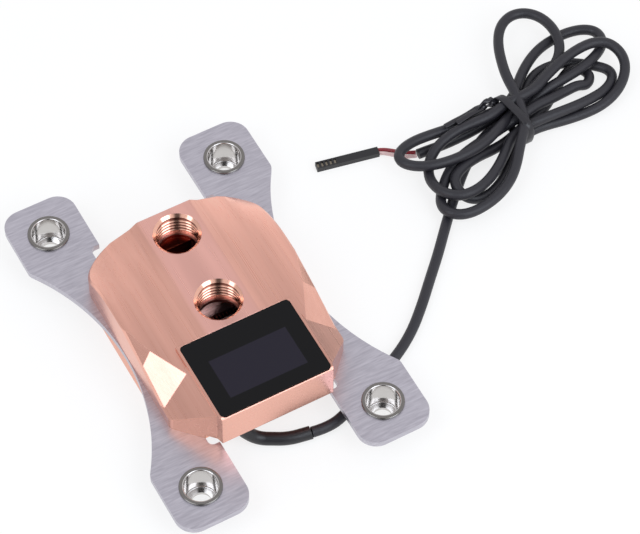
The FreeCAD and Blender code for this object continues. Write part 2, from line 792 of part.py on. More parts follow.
def tube(label, route, radius):
    """A round cable along straight runs joined by tangent arcs, as large as the runs allow."""
    edges = []
    start = route[0]
    for before, corner, after in zip(route, route[1:], route[2:]):
        inward = (corner - before).normalize()
        outward = (after - corner).normalize()
        half_turn = inward.getAngle(outward) / 2
        reach = 0.45 * min((corner - before).Length, (after - corner).Length)
        print(f"{label}: bend radius {reach / math.tan(half_turn):.1f} mm")
        first = corner - inward * reach
        last = corner + outward * reach
        sagitta = reach * math.tan(half_turn / 2)
        middle = (first + last) / 2 + (corner - (first + last) / 2).normalize() * sagitta
        if (first - start).Length > 1e-6:
            edges.append(Part.LineSegment(start, first).toShape())
        edges.append(Part.Arc(first, middle, last).toShape())
        start = last
    edges.append(Part.LineSegment(start, route[-1]).toShape())
    path = Part.Wire(edges)
    section = Part.Wire(Part.Circle(route[0], route[1] - route[0], radius).toShape())
    solid = path.makePipeShell([section], True, False)
    expected = math.pi * radius ** 2 * path.Length
    if abs(solid.Volume / expected - 1) > 0.01:
        raise RuntimeError(f"{label} has {solid.Volume:.1f} mm3 in place of {expected:.1f}")
    feature = doc.addObject("Part::Feature", label)
    feature.Label = label
    feature.Shape = solid
    feature.Placement = FreeCAD.Placement()
    return feature


def hank():
    """The coiled length as one closed solid of its outer shape."""
    corners = [(str(x), str(y)) for x, y in HANK_OUTLINE]
    radii = {corner: str(radius) for corner, radius in HANK_ROUNDING.items()}
    return extruded("cable_hank", corners, "0", "hank_height", radii)


def twist_tie(wound):
    """Flat tie over the waist of the hank."""
    strap = doc.addObject("Part::Box", "tie_blank")
    bind(strap, Length="tie_width", Width=f"{WAIST_BACK - WAIST_FRONT} + tie_thickness * 2",
         Height="hank_height + tie_thickness",
         Placement__Base__x=f"{WAIST_X} - tie_width / 2", Placement__Base__y=f"{WAIST_FRONT} - tie_thickness")
    tie = doc.addObject("Part::Cut", "twist_tie")
    tie.Label = "twist_tie"
    tie.Base = strap
    tie.Tool = wound
    return tie


def on_plug(thing):
    """Turn a piece drawn along +X from the wire end to where the plug lies."""
    thing.Placement = FreeCAD.Placement(PLUG_REAR, FreeCAD.Rotation(Vector(0, 0, 1), PLUG_HEADING))


def plug():
    """Slim cable plug beside the hank: a bar with contact windows, its contacts and two wires."""
    body = extruded(
        "plug_housing", box_corners("0", "plug_length", "-1 * plug_width / 2", "plug_width / 2"),
        "0", "plug_height")
    first_x = "plug_length - contact_pitch * contact_count + contact_margin"
    window = new_sketch(body, "window", "XY_Plane", "plug_height")
    polygon(window, box_corners(first_x, f"{first_x} + contact_width",
                                "-1 * window_half_width", "window_half_width"))
    first_window = pocket(body, window, "window_depth")
    row = body.newObject("PartDesign::LinearPattern", "window_row")
    row.Originals = [first_window]
    row.Direction = (origin_feature(body, "X_Axis"), [""])
    bind(row, Length="contact_pitch * ( contact_count - 1 )", Occurrences="contact_count")
    checked(body, row, False)
    on_plug(body)

    for number in range(int(size("contact_count"))):
        left = f"{first_x} + contact_pitch * {number} + slip"
        contact = extruded(
            f"contact_{number + 1}",
            box_corners(left, f"{left} + contact_width - slip * 2",
                        "-1 * window_half_width + slip", "window_half_width - slip"),
            "plug_height - window_depth", "window_depth / 2")
        on_plug(contact)

    for label, side in (("wire_red", 1), ("wire_white", -1)):
        wire = doc.addObject("Part::Cylinder", label)
        wire.Label = label
        bind(wire, Radius="wire_radius", Height="wire_length")
        turned = FreeCAD.Rotation(Vector(0, 0, 1), PLUG_HEADING)
        start = PLUG_REAR + turned.multVec(Vector(0, -side * (size("wire_radius") + size("slip")), 0))
        start.z = size("plug_height") / 2
        wire.Placement = FreeCAD.Placement(start, turned * FreeCAD.Rotation(Vector(0, 1, 0), -90))


def main():
    cold_plate()
    right = bracket("bracket_right")
    left = doc.addObject("Part::Mirroring", "bracket_left")
    left.Label = "bracket_left"
    left.Source = right
    left.Normal = Vector(1, 0, 0)
    jet_plate()
    main_seal()
    block = top_block()
    bevel_block(block)
    block_ports(block)
    block_chambers(block)
    block_display_well(block)
    for x_name, x in (("left", "-1 * hole_pitch_x / 2"), ("right", "hole_pitch_x / 2")):
        for y_name, y in (("front", "-1 * hole_pitch_y / 2"), ("back", "hole_pitch_y / 2")):
            bushing(f"bushing_{y_name}_{x_name}", x, y)
    for number, (x, y) in enumerate(SCREW_PLACES, start=1):
        base_screw(f"base_screw_{number}", signed(x), signed(y))
    display_pieces()
    tube("heat_shrink_sleeve", SLEEVE_ROUTE, size("sleeve_radius"))
    tube("cable", CABLE_ROUTE, size("cable_radius"))
    twist_tie(hank())
    plug()
    doc.recompute()


def export():
    """Check every object of the document, then write each piece that carries a name of its own."""
    for item in doc.Objects:
        if "Invalid" in item.State or "Error" in item.State:
            raise RuntimeError(f"{item.Label} is {item.State}")
    os.makedirs("parts", exist_ok=True)
    for item in doc.Objects:
        whole = item.TypeId in ("PartDesign::Body", "Part::Feature", "Part::Cylinder", "Part::Cut", "Part::Mirroring")
        if not whole:
            continue
        shape = item.Shape
        if shape.isNull() or not shape.isValid() or not shape.Solids:
            raise RuntimeError(f"{item.Label} has no valid solid")
        shape.exportStep(f"parts/{item.Label}.step")
        box = shape.optimalBoundingBox(False, False)
        print(f"{item.Label}: {len(shape.Solids)} solid, {shape.Volume:.1f} mm3, "
              f"X {box.XMin:.2f} {box.XMax:.2f}, Y {box.YMin:.2f} {box.YMax:.2f}, Z {box.ZMin:.2f} {box.ZMax:.2f}")


main()
export()
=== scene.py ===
import math

import bpy
from mathutils import Matrix, Vector


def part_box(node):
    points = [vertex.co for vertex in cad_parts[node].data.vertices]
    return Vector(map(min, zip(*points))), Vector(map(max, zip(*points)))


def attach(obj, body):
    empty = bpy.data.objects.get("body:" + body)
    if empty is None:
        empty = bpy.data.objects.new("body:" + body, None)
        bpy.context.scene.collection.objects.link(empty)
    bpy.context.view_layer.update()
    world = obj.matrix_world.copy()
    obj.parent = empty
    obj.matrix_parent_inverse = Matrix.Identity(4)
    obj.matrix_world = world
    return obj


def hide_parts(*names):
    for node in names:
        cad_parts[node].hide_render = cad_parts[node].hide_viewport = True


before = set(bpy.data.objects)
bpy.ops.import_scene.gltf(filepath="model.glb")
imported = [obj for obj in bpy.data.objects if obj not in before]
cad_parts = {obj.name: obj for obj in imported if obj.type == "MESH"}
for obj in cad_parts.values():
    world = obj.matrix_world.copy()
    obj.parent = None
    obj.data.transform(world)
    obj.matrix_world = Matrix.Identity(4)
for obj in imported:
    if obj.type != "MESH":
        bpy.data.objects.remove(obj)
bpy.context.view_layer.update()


# Camera: a long lens that looks down on the cold plate from its front left.
# Its place is given in metres by the point on the table that it looks at, and by three angles.
CAMERA_AIM = Vector((0.035708, 0.005382, 0.0))
CAMERA_DISTANCE = 0.827033
CAMERA_AZIMUTH = math.radians(-29.0986)
CAMERA_ELEVATION = math.radians(56.1376)
CAMERA_ROLL = math.radians(0.4913)
FOCAL_LENGTH = 169.612
FILM_WIDTH = 36

back = Vector((
    math.sin(CAMERA_AZIMUTH) * math.cos(CAMERA_ELEVATION),
    -math.cos(CAMERA_AZIMUTH) * math.cos(CAMERA_ELEVATION),
    math.sin(CAMERA_ELEVATION)))
level = Vector((0, 0, 1)).cross(back).normalized()
upright = back.cross(level)
across = level * math.cos(CAMERA_ROLL) + upright * math.sin(CAMERA_ROLL)
upwards = upright * math.cos(CAMERA_ROLL) - level * math.sin(CAMERA_ROLL)
lens = bpy.data.cameras.new("camera")
lens.lens = FOCAL_LENGTH
lens.sensor_width = FILM_WIDTH
lens.clip_start = 0.05
camera = bpy.data.objects.new("camera", lens)
turn = Matrix((across, upwards, back)).transposed().to_4x4()
camera.matrix_world = Matrix.Translation(CAMERA_AIM + back * CAMERA_DISTANCE) @ turn
bpy.context.scene.collection.objects.link(camera)
bpy.context.scene.camera = camera
bpy.context.scene.view_settings.view_transform = "Standard"


# Table and light: a white table in a white studio, lit by three soft lamps.
# The table is drawn plain white where it is seen or reflected, and keeps the soft shadows.
TABLE_HALF = 1.5
TABLE_DROP = 0.00002
TABLE_GLOW = 0.78


def linear(code):
    """An sRGB hex colour as the linear colour that shaders take."""
    shares = [int(code[start:start + 2], 16) / 255 for start in (1, 3, 5)]
    parts = [share / 12.92 if share <= 0.04045 else ((share + 0.055) / 1.055) ** 2.4 for share in shares]
    return (*parts, 1.0)


def add(tree, kind, sockets=None, **settings):
    """A shader node with its settings; a socket takes a value, or another node's output."""
    made = tree.nodes.new("ShaderNode" + kind)
    for name, value in settings.items():
        setattr(made, name, value)
    for name, value in (sockets or {}).items():
        if isinstance(value, bpy.types.NodeSocket):
            tree.links.new(value, made.inputs[name])
        else:
            made.inputs[name].default_value = value
    return made


def new_material(name, **sockets):
    """A material whose one main shader has these values, its node tree and that shader."""
    made = bpy.data.materials.new(name)
    made.use_nodes = True
    shader = made.node_tree.nodes["Principled BSDF"]
    for socket, value in sockets.items():
        shader.inputs[socket.replace("_", " ")].default_value = value
    return made, made.node_tree, shader


def mesh_piece(name, corners, faces, smooth=True):
    """An object made from corner points and faces."""
    mesh = bpy.data.meshes.new(name)
    mesh.from_pydata(corners, [], faces)
    mesh.update()
    mesh.polygons.foreach_set("use_smooth", [smooth] * len(mesh.polygons))
    made = bpy.data.objects.new(name, mesh)
    bpy.context.scene.collection.objects.link(made)
    return made


floor = mesh_piece("floor", [
    (-TABLE_HALF, -TABLE_HALF, 0), (TABLE_HALF, -TABLE_HALF, 0),
    (TABLE_HALF, TABLE_HALF, 0), (-TABLE_HALF, TABLE_HALF, 0)], [(0, 1, 2, 3)], smooth=False)
floor.location.z = -TABLE_DROP
# matt white laminate, so plain that only the shadows show on it
white_table, tree, shader = new_material(
    "white_table", Base_Color=linear("#FFFFFF"), Roughness=1.0, Specular_IOR_Level=0.0)
rays = add(tree, "LightPath")
seen = add(tree, "Math", {
    0: rays.outputs["Is Camera Ray"], 1: rays.outputs["Is Glossy Ray"]}, operation="MAXIMUM")
seen = add(tree, "Math", {0: seen.outputs[0], 1: rays.outputs["Is Transmission Ray"]}, operation="MAXIMUM")
share = add(tree, "Math", {0: seen.outputs[0], 1: TABLE_GLOW}, operation="MULTIPLY")
glow = add(tree, "Emission", {"Color": linear("#FFFFFF"), "Strength": 1.0})
mix = add(tree, "MixShader", {0: share.outputs[0], 1: shader.outputs[0], 2: glow.outputs[0]})
tree.links.new(mix.outputs[0], tree.nodes["Material Output"].inputs["Surface"])
floor.data.materials.append(white_table)

WALL_COLOUR = "#F6F5F8"
CEILING_SHARE = 0.80
world = bpy.data.worlds.new("studio")
bpy.context.scene.world = world
world.use_nodes = True
sky = world.node_tree
sky.nodes.clear()
direction = add(sky, "TexCoord").outputs["Generated"]
rise = add(sky, "SeparateXYZ", {0: direction})
brightness = add(sky, "MapRange", {
    "Value": rise.outputs["Z"], "From Min": 0.0, "From Max": 1.0, "To Min": 1.0, "To Max": CEILING_SHARE})
# a narrow dark doorway on the near side, seen only by faces that are turned towards it
DOORWAY_WAY = (-0.486, -0.874, 0.0)
DOORWAY_ACROSS = (0.874, -0.486, 0.0)
DOORWAY_SHARE = 0.1
DOORWAY_EDGE = (0.12, 0.26)
DOORWAY_SIDE = (-0.05, 0.12)
sideways = add(sky, "VectorMath", {0: direction, 1: DOORWAY_ACROSS}, operation="DOT_PRODUCT")
sideways = add(sky, "Math", {0: sideways.outputs["Value"]}, operation="ABSOLUTE")
sideways = add(sky, "MapRange", {
    "Value": sideways.outputs[0], "From Min": DOORWAY_EDGE[0], "From Max": DOORWAY_EDGE[1],
    "To Min": DOORWAY_SHARE, "To Max": 1.0})
facing = add(sky, "VectorMath", {0: direction, 1: DOORWAY_WAY}, operation="DOT_PRODUCT")
behind = add(sky, "MapRange", {
    "Value": facing.outputs["Value"], "From Min": DOORWAY_SIDE[0], "From Max": DOORWAY_SIDE[1],
    "To Min": 1.0, "To Max": 0.0})
shade = add(sky, "Math", {0: sideways.outputs[0], 1: behind.outputs[0]}, operation="MAXIMUM")
# the far left of the studio is dimmer than its right
FAR_LEFT_WAY = (-0.82, 0.50, 0.27)
FAR_LEFT_SHARE = 0.78
FAR_LEFT_EDGE = (0.6, 0.95)
aside = add(sky, "VectorMath", {0: direction, 1: FAR_LEFT_WAY}, operation="DOT_PRODUCT")
dim = add(sky, "MapRange", {
    "Value": aside.outputs["Value"], "From Min": FAR_LEFT_EDGE[0], "From Max": FAR_LEFT_EDGE[1],
    "To Min": 1.0, "To Max": FAR_LEFT_SHARE})
shade = add(sky, "Math", {0: shade.outputs[0], 1: dim.outputs[0]}, operation="MULTIPLY")
brightness = add(sky, "Math", {0: brightness.outputs[0], 1: shade.outputs[0]}, operation="MULTIPLY")
surround = add(sky, "Background", {"Color": linear(WALL_COLOUR), "Strength": brightness.outputs[0]})
add(sky, "OutputWorld", {"Surface": surround.outputs[0]})

LAMPS = {
    # name: direction from the object, width, height, power
    "key": ((-0.86, -0.10, 0.46), 0.28, 0.24, 0.46),
    "near left": ((-0.56, -0.10, 0.83), 0.42, 0.40, 1.6),
    "near right": ((0.26, -0.66, 0.70), 0.50, 0.66, 3.0),
}
LAMP_AIM = Vector((0.02, 0.0, 0.01))
LAMP_DISTANCE = 0.9
LAMP_COLOUR = "#ECF5FF"
for name, (way, width, height, power) in LAMPS.items():
    data = bpy.data.lights.new(name, "AREA")
    data.shape = "RECTANGLE"
    data.size = width
    data.size_y = height
    data.energy = power
    data.color = linear(LAMP_COLOUR)[:3]
    lamp = bpy.data.objects.new(name, data)
    lamp.location = LAMP_AIM + Vector(way).normalized() * LAMP_DISTANCE
    lamp.rotation_euler = Vector(way).to_track_quat("Z", "Y").to_euler()
    bpy.context.scene.collection.objects.link(lamp)


# Display cable: black PVC-sheathed cable, 3 mm thick, from the sleeve under the housing to a hank.
# It is one open spline: it crosses the table, goes round five right and four left turns, and is held
# at the waist by the twist tie. Sizes and places are in millimetres from here on.
MM = 0.001
CABLE_RADIUS = 1.5
CABLE_RUN = [
    (8.0, -40.74, 1.9), (13.0, -41.62, 1.9), (19.4, -39.6, 1.55), (28.4, -35.2, 1.55), (38.4, -31.2, 1.55),
    (46.4, -26.2, 1.55), (53.4, -19.8, 1.55), (59.6, -13.4, 1.55), (65.4, -7.6, 1.55),
    (71.9, -0.5, 1.6), (76.6, 4.5, 1.6), (81.1, 9.0, 1.6), (85.8, 13.5, 1.6), (90.8, 17.3, 1.6),
    (96.3, 21.0, 1.6), (102.5, 22.6, 1.6), (107.8, 23.0, 1.6),
]
TURN_BACK_RIGHT = [
    (114.1, 24.6, 2.0), (119.6, 25.4, 4.5), (125.7, 25.9, 4.9), (131.5, 26.7, 4.8), (136.5, 28.1, 4.7),
    (140.6, 30.3, 3.9), (143.3, 33.0, 3.4), (144.2, 36.0, 3.1), (143.1, 38.6, 2.9), (140.1, 40.5, 2.7),
    (135.8, 41.4, 2.5), (131.0, 41.1, 2.5), (126.0, 39.8, 2.9), (120.9, 37.1, 3.3), (115.6, 32.9, 3.9),
    (110.4, 27.5, 4.6), (105.7, 25.6, 5.0),
]
TURN_FAR_LEFT = [
    (100.9, 25.2, 5.0), (95.3, 25.8, 4.7), (89.3, 26.3, 4.6), (83.3, 26.9, 4.8), (78.0, 27.1, 5.1),
    (73.7, 26.3, 5.4), (70.9, 24.4, 5.9), (70.4, 21.6, 6.3), (72.4, 18.6, 6.8), (76.3, 16.4, 7.0),
    (81.6, 15.2, 7.0), (87.7, 15.0, 7.0), (94.2, 16.0, 6.9), (100.4, 18.8, 6.6), (106.6, 22.6, 4.4),
]
TURN_TALL = [
    (113.0, 26.1, 3.8), (119.3, 28.8, 4.2), (124.9, 30.8, 4.3), (129.1, 33.7, 4.7), (131.4, 37.2, 5.2),
    (132.3, 41.1, 5.6), (132.1, 45.4, 5.6), (130.6, 49.1, 5.6), (127.7, 51.6, 5.7), (124.1, 52.3, 5.8),
    (120.4, 51.0, 5.9), (117.2, 47.9, 6.1), (114.6, 43.4, 6.3), (112.5, 37.9, 6.7), (111.0, 32.7, 7.0),
    (110.3, 26.2, 7.0), (108.2, 18.5, 7.0),
]
TURN_LOW_LEFT = [
    (107.0, 16.0, 7.0), (105.0, 13.6, 7.0), (102.2, 10.6, 6.8), (98.6, 6.2, 5.9), (94.6, 2.6, 5.3),
    (89.8, 0.1, 4.9), (84.8, -1.2, 4.7), (80.0, -1.5, 4.6), (76.3, -0.6, 4.7), (74.0, 1.6, 4.7),
    (73.7, 4.9, 3.9), (75.5, 8.4, 2.9), (78.4, 11.7, 2.9), (81.9, 14.6, 3.3), (86.3, 16.7, 4.0),
    (91.7, 17.8, 4.7), (97.2, 18.9, 4.1), (102.3, 20.2, 3.7), (108.5, 20.2, 5.1),
]
TURN_INNER_RIGHT = [
    (114.2, 21.5, 5.1), (119.3, 21.9, 4.4), (124.3, 22.7, 3.6), (128.8, 23.0, 3.6), (131.8, 22.5, 2.2),
    (134.5, 24.9, 2.0), (134.0, 28.4, 1.7), (130.6, 30.1, 1.7), (126.4, 28.0, 1.6), (122.2, 25.1, 1.6),
    (116.9, 21.3, 1.6), (109.3, 19.2, 1.6),
]
TURN_INNER_LEFT = [
    (101.8, 16.6, 1.6), (96.6, 15.9, 1.8), (91.7, 14.9, 3.5), (87.3, 13.7, 4.5), (83.7, 12.4, 4.8),
    (81.1, 10.6, 4.7), (80.2, 7.7, 4.6), (80.9, 5.0, 3.7), (83.0, 3.1, 3.0), (86.3, 2.5, 2.6),
    (90.5, 3.6, 2.3), (95.0, 6.2, 2.0), (99.5, 10.4, 1.7), (103.9, 15.3, 1.6), (108.5, 16.4, 1.6),
]
TURN_WIDE_RIGHT = [
    (111.8, 16.6, 1.6), (115.7, 16.1, 1.6), (120.5, 15.2, 1.6), (126.1, 14.4, 1.9), (131.4, 14.2, 2.4),
    (136.2, 15.3, 3.0), (140.4, 17.6, 3.7), (143.5, 20.8, 4.4), (144.9, 24.2, 5.1), (144.6, 27.6, 5.9),
    (142.7, 30.4, 6.7), (139.3, 31.9, 7.0), (134.9, 32.0, 7.0), (129.9, 31.1, 7.0), (124.8, 29.4, 7.0),
    (119.9, 27.4, 7.0), (115.4, 25.2, 7.0), (105.9, 25.0, 7.0),
]
TURN_ROUND_LEFT = [
    (100.8, 23.4, 7.0), (96.6, 23.3, 6.9), (91.7, 23.8, 6.5), (87.0, 23.5, 5.9), (82.8, 22.5, 5.2),
    (79.4, 20.6, 4.5), (76.9, 17.9, 3.8), (75.1, 13.9, 4.5), (74.8, 9.6, 5.8), (76.4, 5.8, 6.4),
    (79.5, 3.6, 6.5), (83.9, 3.5, 6.2), (88.7, 5.1, 5.6), (93.8, 8.1, 5.1), (98.5, 11.9, 4.6),
    (102.4, 15.6, 3.9), (107.5, 17.4, 3.8),
]
TURN_MIDDLE_RIGHT = [
    (113.1, 16.9, 4.6), (118.3, 16.7, 4.5), (123.9, 16.6, 4.1), (129.2, 16.9, 3.7), (134.0, 17.7, 3.2),
    (137.9, 19.5, 2.7), (140.1, 22.0, 2.3), (140.2, 24.7, 1.9), (138.4, 27.2, 1.6), (135.6, 29.6, 1.6),
    (132.2, 32.0, 1.6), (128.5, 33.5, 1.6), (124.4, 33.9, 1.6), (120.7, 33.2, 1.6), (117.3, 31.2, 1.6),
    (113.3, 28.0, 1.6), (107.1, 25.9, 1.6),
]
CABLE_END = [
    (100.9, 25.2, 1.6), (95.1, 24.4, 1.6), (89.8, 24.2, 1.6), (84.9, 24.2, 1.6), (80.8, 24.6, 1.6),
    (77.7, 24.8, 1.6),
]
CABLE_POINTS = (
    CABLE_RUN + TURN_BACK_RIGHT + TURN_FAR_LEFT + TURN_TALL + TURN_LOW_LEFT
    + TURN_INNER_RIGHT + TURN_INNER_LEFT + TURN_WIDE_RIGHT + TURN_ROUND_LEFT + TURN_MIDDLE_RIGHT + CABLE_END)


def cord_curve(name, points, radius):
    """A round cord along one open spline that starts and ends on its first and last points."""
    data = bpy.data.curves.new(name, "CURVE")
    data.dimensions = "3D"
    data.bevel_depth = 1.0
    data.bevel_resolution = 5
    data.resolution_u = 6
    data.use_fill_caps = True
    spline = data.splines.new("NURBS")
    spline.points.add(len(points) - 1)
    for point, place in zip(spline.points, points):
        point.co = (*(Vector(place) * MM), 1.0)
        point.radius = radius * MM
    spline.order_u = 3
    spline.use_endpoint_u = True
    made = bpy.data.objects.new(name, data)
    bpy.context.scene.collection.objects.link(made)
    return made


def line_length(curve):
    """Length of a curve's own line, measured on it with the thickness left off."""
    depth, curve.data.bevel_depth = curve.data.bevel_depth, 0.0
    caps, curve.data.use_fill_caps = curve.data.use_fill_caps, False
    bpy.context.view_layer.update()
    line = bpy.data.meshes.new_from_object(curve)
    places = [vertex.co.copy() for vertex in line.vertices]
    curve.data.bevel_depth = depth
    curve.data.use_fill_caps = caps
    bpy.data.meshes.remove(line)
    return sum((after - before).length for before, after in zip(places, places[1:]))


def fine_grain(tree, shader, width, depth, strength, detail=2.0):
    """Relief of soft grains, with their width and depth in millimetres."""
    place = add(tree, "TexCoord")
    grain = add(tree, "TexNoise", {
        "Vector": place.outputs["Object"], "Scale": 1 / (width * MM), "Detail": detail})
    relief = add(tree, "Bump", {"Height": grain.outputs["Fac"], "Strength": strength, "Distance": depth * MM})
    tree.links.new(relief.outputs[0], shader.inputs["Normal"])


def uneven_shine(tree, shader, width, low, high, detail=2.0):
    """Roughness that wanders between two values over patches of this width in millimetres."""
    place = add(tree, "TexCoord")
    patches = add(tree, "TexNoise", {
        "Vector": place.outputs["Object"], "Scale": 1 / (width * MM), "Detail": detail})
    shine = add(tree, "MapRange", {"Value": patches.outputs["Fac"], "To Min": low, "To Max": high})
    tree.links.new(shine.outputs[0], shader.inputs["Roughness"])


display_cable = cord_curve("display_cable", CABLE_POINTS, CABLE_RADIUS)
# soft matt sheath, handled in patches: it shows the studio as a broad grey line on its upper side
black_pvc_sheath, tree, shader = new_material("black_pvc_sheath", Base_Color=linear("#26252B"))
fine_grain(tree, shader, width=2.22, depth=0.2, strength=0.08, detail=3.0)
uneven_shine(tree, shader, width=2.22, low=0.40, high=0.56, detail=3.0)
display_cable.data.materials.append(black_pvc_sheath)
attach(display_cable, "root")
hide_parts("cable", "cable_hank")


# Heat-shrink sleeve: black polyolefin tube, shrunk over the cable where it leaves the housing.
# Its loose end makes a small step on the cable.
def paint(material, *nodes):
    """Give CAD pieces one material."""
    for node in nodes:
        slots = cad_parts[node].data.materials
        if len(slots):
            for index in range(len(slots)):
                slots[index] = material
        else:
            slots.append(material)


# tighter and a little glossier than the sheath, with a faint orange-peel grain
black_heat_shrink, tree, shader = new_material(
    "black_heat_shrink", Base_Color=linear("#1D1C20"), Roughness=0.38)
fine_grain(tree, shader, width=1.43, depth=0.2, strength=0.12)
paint(black_heat_shrink, "heat_shrink_sleeve")


# Twist tie: a flat black plastic strip with a wire core, wound once round the waist of the hank.
# Its ends are twisted together behind the waist and lie along the far strands.
TIE_HALF_WIDTH = 1.2
TIE_HALF_THICKNESS = 0.3
TAIL_HALF_WIDTH = 0.75
TAIL_TWISTED_SHARE = 0.45
TIE_LOOP = [
    (104.6, 28.0, 5.0), (104.9, 27.6, 7.6), (105.6, 25.6, 8.7), (106.4, 21.5, 8.8), (107.0, 17.4, 8.7),
    (107.2, 14.9, 8.2), (107.2, 13.4, 6.2), (107.1, 13.2, 3.4), (106.9, 14.2, 0.9), (106.4, 17.6, 0.4),
    (105.8, 21.6, 0.4), (105.2, 25.6, 0.5), (104.7, 27.6, 2.0),
]
TIE_TAIL_LONG = [
    (104.6, 27.6, 6.0), (102.6, 27.6, 8.0), (100.0, 27.3, 8.2), (96.8, 27.0, 7.4), (93.4, 26.6, 7.2),
    (90.0, 26.3, 7.3), (86.9, 26.0, 7.3),
]
TIE_TAIL_SHORT = [
    (104.4, 26.8, 6.6), (102.4, 26.5, 7.2), (99.8, 26.6, 7.0), (96.6, 26.2, 7.6), (93.2, 25.6, 7.9),
    (90.2, 25.1, 7.7),
]
# the strip's section with its corners broken, as shares of its half width and half thickness
TIE_SECTION = ((-1, -0.6), (-0.8, -1), (0.8, -1), (1, -0.6), (1, 0.6), (0.8, 1), (-0.8, 1), (-1, 0.6))
# a strip that runs nearer to X than this takes its width from Y instead
LEAST_SIDEWAYS = 0.3


def finer(points, closed, steps=6):
    """More points along the same smooth line."""
    made = []
    count = len(points)
    for index in range(count if closed else count - 1):
        near = [index + shift for shift in (-1, 0, 1, 2)]
        near = [place % count if closed else min(max(place, 0), count - 1) for place in near]
        before, start, end, after = (Vector(points[place]) for place in near)
        for step in range(steps):
            share = step / steps
            made.append(0.5 * (
                2 * start + (end - before) * share
                + (2 * before - 5 * start + 4 * end - after) * share * share
                + (3 * start - before - 3 * end + after) * share ** 3))
    if not closed:
        made.append(Vector(points[-1]))
    return made


def strip(points, closed, half_width, turns=None):
    """Corners and faces of a flat strip along points; turns gives its twist at each point in degrees."""
    corners, faces = [], []
    count = len(points)
    ring = len(TIE_SECTION)
    for index, place in enumerate(points):
        before = points[index - 1] if closed or index else place
        after = points[(index + 1) % count] if closed or index < count - 1 else place
        ahead = (Vector(after) - Vector(before)).normalized()
        sideways = Vector((1, 0, 0)) - ahead * ahead.x
        if sideways.length < LEAST_SIDEWAYS:
            sideways = Vector((0, 1, 0)) - ahead * ahead.y
        sideways.normalize()
        if turns:
            sideways = Matrix.Rotation(math.radians(turns[index]), 3, ahead) @ sideways
        outward = ahead.cross(sideways)
        for width_share, thickness_share in TIE_SECTION:
            corners.append((
                Vector(place) + sideways * half_width * width_share
                + outward * TIE_HALF_THICKNESS * thickness_share) * MM)
    for index in range(count if closed else count - 1):
        this, other = index * ring, (index + 1) % count * ring
        for side in range(ring):
            beside = (side + 1) % ring
            faces.append((this + side, this + beside, other + beside, other + side))
    if not closed:
        faces.append(tuple(reversed(range(ring))))
        faces.append(tuple((count - 1) * ring + side for side in range(ring)))
    return corners, faces


tie_corners, tie_faces = strip(finer(TIE_LOOP, True), True, TIE_HALF_WIDTH)
for tail, spin in ((TIE_TAIL_LONG, 1), (TIE_TAIL_SHORT, -1)):
    line = finer(tail, False)
    twisted = len(line) * TAIL_TWISTED_SHARE
    twists = [spin * 360 * max(0.0, 1 - index / twisted) for index in range(len(line))]
    tail_corners, tail_faces = strip(line, False, TAIL_HALF_WIDTH, twists)
    tie_faces += [tuple(corner + len(tie_corners) for corner in face) for face in tail_faces]
    tie_corners += tail_corners
waist_tie = mesh_piece("waist_tie", tie_corners, tie_faces)
# thin glossy film over the wire, creased where it was bent by hand, so it glints in small spots
black_tie_film, tree, shader = new_material("black_tie_film", Base_Color=linear("#242328"), Roughness=0.3)
fine_grain(tree, shader, width=1.11, depth=0.3, strength=0.35, detail=3.0)
waist_tie.data.materials.append(black_tie_film)
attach(waist_tie, "root")
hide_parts("twist_tie")


# Plug wires: two thin stranded wires in PVC insulation, one red and one pale.
# They come out of the end of the sheath and go into the back of the plug.
WIRE_RADIUS = 0.55
WIRES = {
    "red_wire": ("#8E2A33", "wire_red", [
        (77.4, 25.6, 1.75), (75.4, 26.6, 1.5), (73.4, 28.4, 1.2), (71.3, 30.3, 1.1), (69.9, 31.3, 1.0),
        (68.6, 31.9, 0.9)]),
    "pale_wire": ("#E3C3C0", "wire_white", [
        (77.2, 24.6, 1.4), (75.0, 25.5, 1.1), (72.8, 27.3, 0.9), (70.8, 29.2, 0.85), (69.5, 30.3, 0.85),
        (68.4, 30.75, 0.85)]),
}
plug_pieces = []
for name, (colour, node, points) in WIRES.items():
    wire = cord_curve(name, points, WIRE_RADIUS)
    # smooth thin insulation, bright against the black plug
    insulation, tree, shader = new_material(name + "_insulation", Base_Color=linear(colour), Roughness=0.35)
    fine_grain(tree, shader, width=1.25, depth=0.2, strength=0.08)
    wire.data.materials.append(insulation)
    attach(wire, "root")
    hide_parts(node)
    plug_pieces.append(wire)


# Plug: a slim moulded nylon housing, with five windows that show its plated contacts.
# The contacts are crimped on the wires and snap into the housing. The display's own header,
# inside the block, is of the same nylon.
CONTACTS = [f"contact_{number}" for number in range(1, 6)]
# moulded with a fine spark-eroded grain, so it is a flat black
black_nylon, tree, shader = new_material("black_nylon", Base_Color=linear("#1E1D20"), Roughness=0.42)
fine_grain(tree, shader, width=0.833, depth=0.1, strength=0.1)
paint(black_nylon, "plug_housing", "cable_header")
# thin plating with a warm grey sheen, deep in the windows
contact_plating, tree, shader = new_material(
    "contact_plating", Base_Color=linear("#8D8578"), Metallic=1.0)
uneven_shine(tree, shader, width=0.667, low=0.28, high=0.45)
paint(contact_plating, *CONTACTS)
plug_pieces += [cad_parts[node] for node in ["plug_housing"] + CONTACTS]
line_length(display_cable)


# Brackets: stamped stainless plates, brushed across their width, clamped under the block.
# The real brush lines are finer than 0.1 mm, too fine to show, so they are drawn 0.5 mm apart.
BRACKET_LINE_SPACING = 0.5263
BRACKET_LINE_RUN = 5.263
BRACKET_DARK = "#B6B3BD"
BRACKET_LIGHT = "#D0CDD6"
LINE_DEPTH = 0.02
# most of the noise that draws the lines lies between these two values
NOISE_LOW = 0.3
NOISE_HIGH = 0.7


